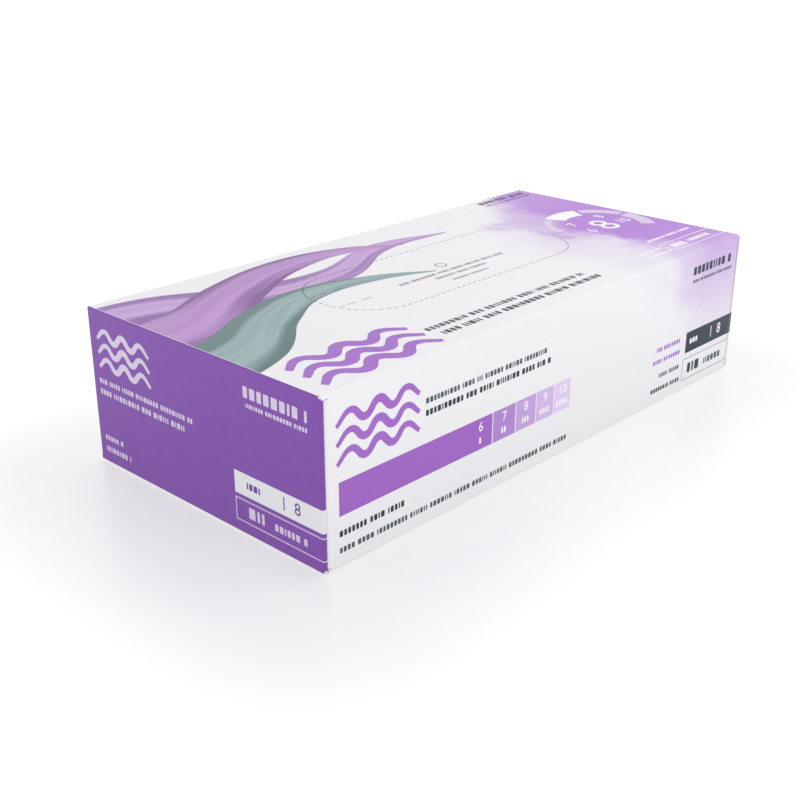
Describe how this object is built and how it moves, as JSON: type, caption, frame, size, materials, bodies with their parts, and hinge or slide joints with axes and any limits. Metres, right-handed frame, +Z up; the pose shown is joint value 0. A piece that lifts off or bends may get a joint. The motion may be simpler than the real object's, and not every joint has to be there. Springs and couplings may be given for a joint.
{
  "type": "glove dispenser box",
  "caption": "Closed folding carton of printed board with a perforated tear-out oval in its top, for dispensing thin disposable gloves.",
  "frame": {"origin": "centre of the base, on the surface that the box stands on", "axes": "+X along the length towards the end with the printed wash, -Y out of the front panel, +Z up out of the perforated top"},
  "size_m": [0.24, 0.119, 0.0595],
  "materials": {
    "white_board": "white coated folding boxboard, satin varnish over soft violet print",
    "violet_board": "the same board printed solid violet, satin varnish"
  },
  "bodies": {
    "root": {"carton_sleeve": "white_board", "tear_out_panel": "white_board", "outer_flap_left": "violet_board", "outer_flap_right": "violet_board", "inner_flap_left": "white_board", "inner_flap_right": "white_board", "dust_flap_left_front": "white_board", "dust_flap_left_back": "white_board", "dust_flap_right_front": "white_board", "dust_flap_right_back": "white_board"}
  },
  "joints": []
}
